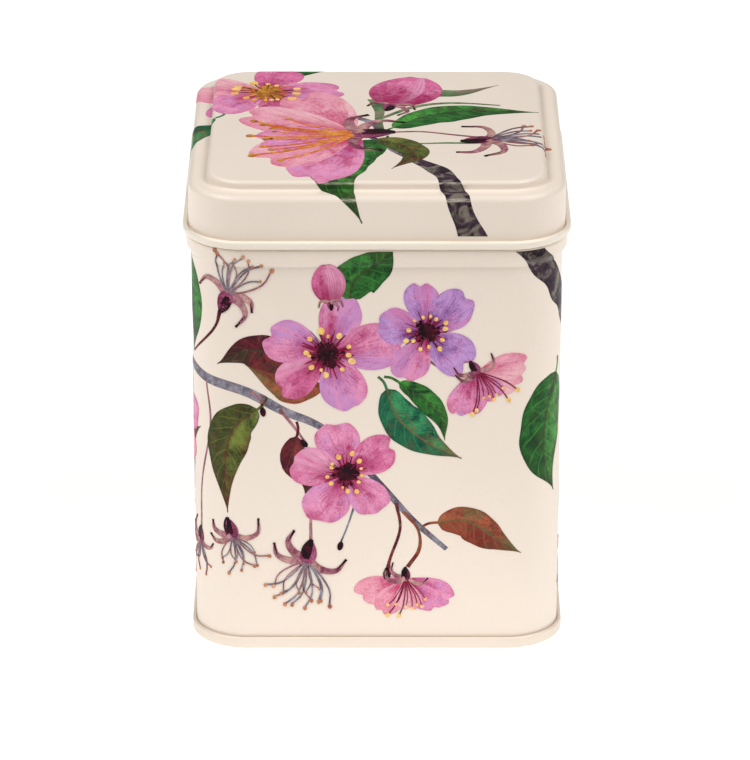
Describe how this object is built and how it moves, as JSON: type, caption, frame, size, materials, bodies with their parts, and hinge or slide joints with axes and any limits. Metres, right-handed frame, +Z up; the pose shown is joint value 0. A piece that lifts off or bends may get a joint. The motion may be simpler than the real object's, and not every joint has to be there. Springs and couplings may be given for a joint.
{
  "type": "tea caddy",
  "caption": "Square tinplate tea caddy with rounded corners, a stepped lift-off lid, a stop bead and a seamed, countersunk base.",
  "frame": {"origin": "centre of the foot, in the plane that the tin stands on", "axes": "+Z up out of the lid, -Y towards the printed front wall, +X to the right seen from the front; the lock seam is in the +Y wall"},
  "size_m": [0.0794, 0.0794, 0.1025],
  "materials": {
    "printed_tinplate": "ivory lacquer with a printed blossom pattern, satin",
    "lid_tinplate": "ivory lacquer with a printed blossom pattern, satin",
    "base_tinplate": "plain ivory lacquer, satin"
  },
  "bodies": {
    "tin": {"body_wall": "printed_tinplate", "base_end": "base_tinplate"},
    "lid": {"lid": "lid_tinplate"}
  },
  "joints": [
    {"name": "lid_lift", "type": "slide", "parent": "tin", "child": "lid", "axis": [0, 0, 1], "range_m": [0, 0.05]}
  ]
}
